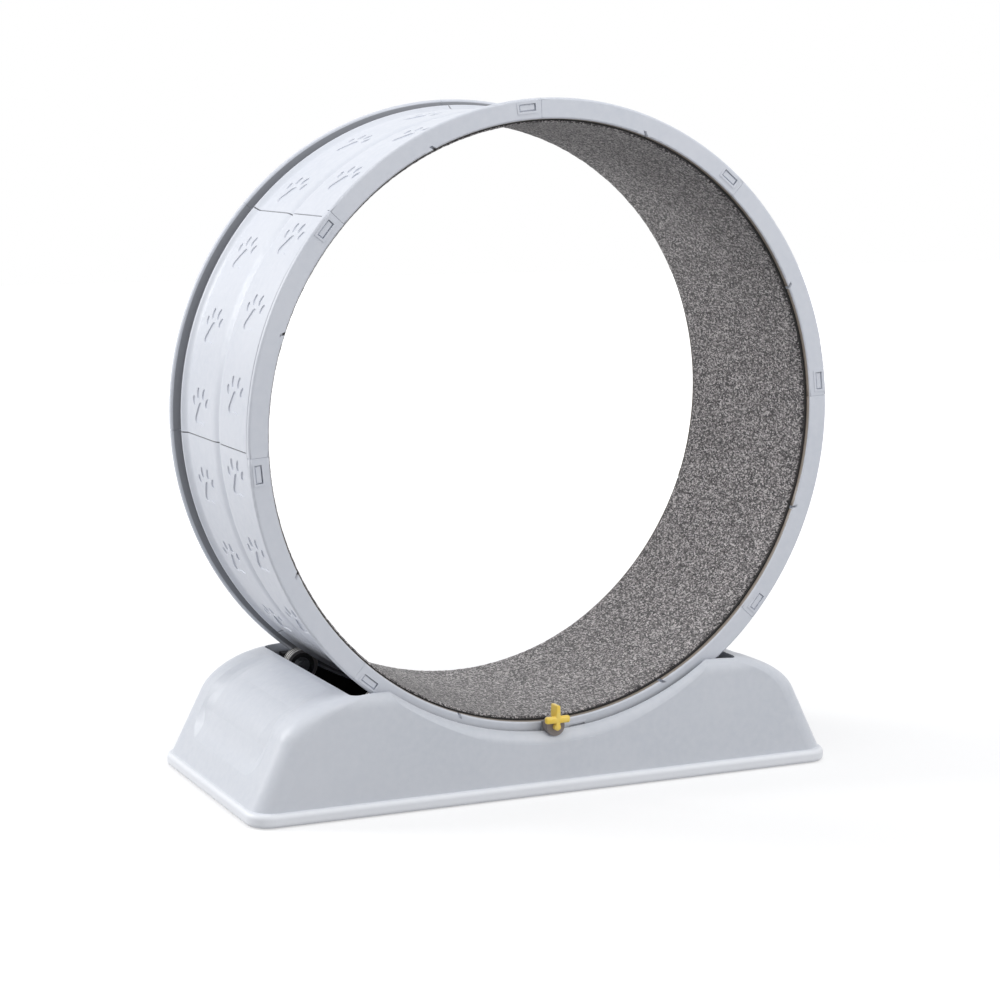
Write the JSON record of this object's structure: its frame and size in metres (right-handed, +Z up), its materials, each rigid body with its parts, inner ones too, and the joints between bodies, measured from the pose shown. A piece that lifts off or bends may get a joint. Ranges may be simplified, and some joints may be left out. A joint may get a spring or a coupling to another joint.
{
  "type": "cat exercise wheel",
  "caption": "Cat exercise wheel: a carpet-lined ring of clipped plastic segments that turns on rubber-tyred rollers in a low moulded base, with a lever lock on the front lip.",
  "frame": {"origin": "on the floor, under the middle of the base", "axes": "+X along the base to the right seen from the lock's side, +Y from the lock's side to the back and along the wheel's axle line, +Z up"},
  "size_m": [0.79, 0.34, 0.84],
  "materials": {
    "wheel_plastic": "satin moulded plastic, cool light grey",
    "base_plastic": "satin moulded plastic, cool light grey",
    "carpet": "short heathered grey loop pile",
    "mat_edge": "black foam-rubber backing",
    "roller_tread": "light grey rubber with round grooves",
    "roller_core": "dark grey moulded plastic",
    "steel": "zinc-plated steel",
    "mount_plastic": "near-black moulded plastic",
    "lock_grey": "mid-grey moulded plastic",
    "lock_yellow": "bright yellow moulded plastic",
    "brake_rubber": "black rubber",
    "foot_rubber": "black non-slip rubber"
  },
  "bodies": {
    "base": {"base_shell": "base_plastic", "rubber_feet": "foot_rubber", "mount_screws": "steel", "lock_housing": "lock_grey", "roller_mount_front_left": "mount_plastic", "roller_axle_front_left": "steel", "roller_nut_front_left": "steel", "roller_mount_front_right": "mount_plastic", "roller_axle_front_right": "steel", "roller_nut_front_right": "steel", "roller_mount_back_left": "mount_plastic", "roller_axle_back_left": "steel", "roller_nut_back_left": "steel", "roller_mount_back_right": "mount_plastic", "roller_axle_back_right": "steel", "roller_nut_back_right": "steel"},
    "wheel": {"segment_1": "wheel_plastic", "segment_2": "wheel_plastic", "segment_3": "wheel_plastic", "segment_4": "wheel_plastic", "segment_5": "wheel_plastic", "segment_6": "wheel_plastic", "segment_7": "wheel_plastic", "segment_8": "wheel_plastic", "mat_backing": "mat_edge", "running_mat": "carpet"},
    "roller_front_left": {"roller_tyre_front_left": "roller_tread", "roller_hub_front_left": "roller_core", "roller_bearings_front_left": "steel"},
    "roller_front_right": {"roller_tyre_front_right": "roller_tread", "roller_hub_front_right": "roller_core", "roller_bearings_front_right": "steel"},
    "roller_back_left": {"roller_tyre_back_left": "roller_tread", "roller_hub_back_left": "roller_core", "roller_bearings_back_left": "steel"},
    "roller_back_right": {"roller_tyre_back_right": "roller_tread", "roller_hub_back_right": "roller_core", "roller_bearings_back_right": "steel"},
    "lock_lever": {"lock_lever": "lock_yellow", "lock_spindle": "steel"},
    "brake": {"pad_carrier": "steel", "brake_pad": "brake_rubber"}
  },
  "joints": [
    {"name": "wheel_spin", "type": "hinge", "parent": "base", "child": "wheel", "pos_m": [0, 0, 0.4515], "axis": [0, 1, 0], "continuous": true},
    {"name": "roller_spin_front_left", "type": "hinge", "parent": "base", "child": "roller_front_left", "pos_m": [-0.22063, -0.127, 0.12067], "axis": [0, 1, 0], "continuous": true},
    {"name": "roller_spin_front_right", "type": "hinge", "parent": "base", "child": "roller_front_right", "pos_m": [0.22063, -0.127, 0.12067], "axis": [0, 1, 0], "continuous": true},
    {"name": "roller_spin_back_left", "type": "hinge", "parent": "base", "child": "roller_back_left", "pos_m": [-0.22063, 0.127, 0.12067], "axis": [0, 1, 0], "continuous": true},
    {"name": "roller_spin_back_right", "type": "hinge", "parent": "base", "child": "roller_back_right", "pos_m": [0.22063, 0.127, 0.12067], "axis": [0, 1, 0], "continuous": true},
    {"name": "lever_turn", "type": "hinge", "parent": "base", "child": "lock_lever", "pos_m": [0, -0.16, 0.0845], "axis": [0, 1, 0], "range_deg": [0, 90]},
    {"name": "pad_press", "type": "slide", "parent": "base", "child": "brake", "axis": [0, 1, 0], "range_m": [0, 0.0013]}
  ],
  "couplings": [
    {"joint": "roller_spin_front_left", "follows": "wheel_spin", "ratio": -17.488},
    {"joint": "roller_spin_front_right", "follows": "wheel_spin", "ratio": -17.488},
    {"joint": "roller_spin_back_left", "follows": "wheel_spin", "ratio": -17.488},
    {"joint": "roller_spin_back_right", "follows": "wheel_spin", "ratio": -17.488},
    {"joint": "pad_press", "follows": "lever_turn", "m_per_rad": 0.000827}
  ]
}
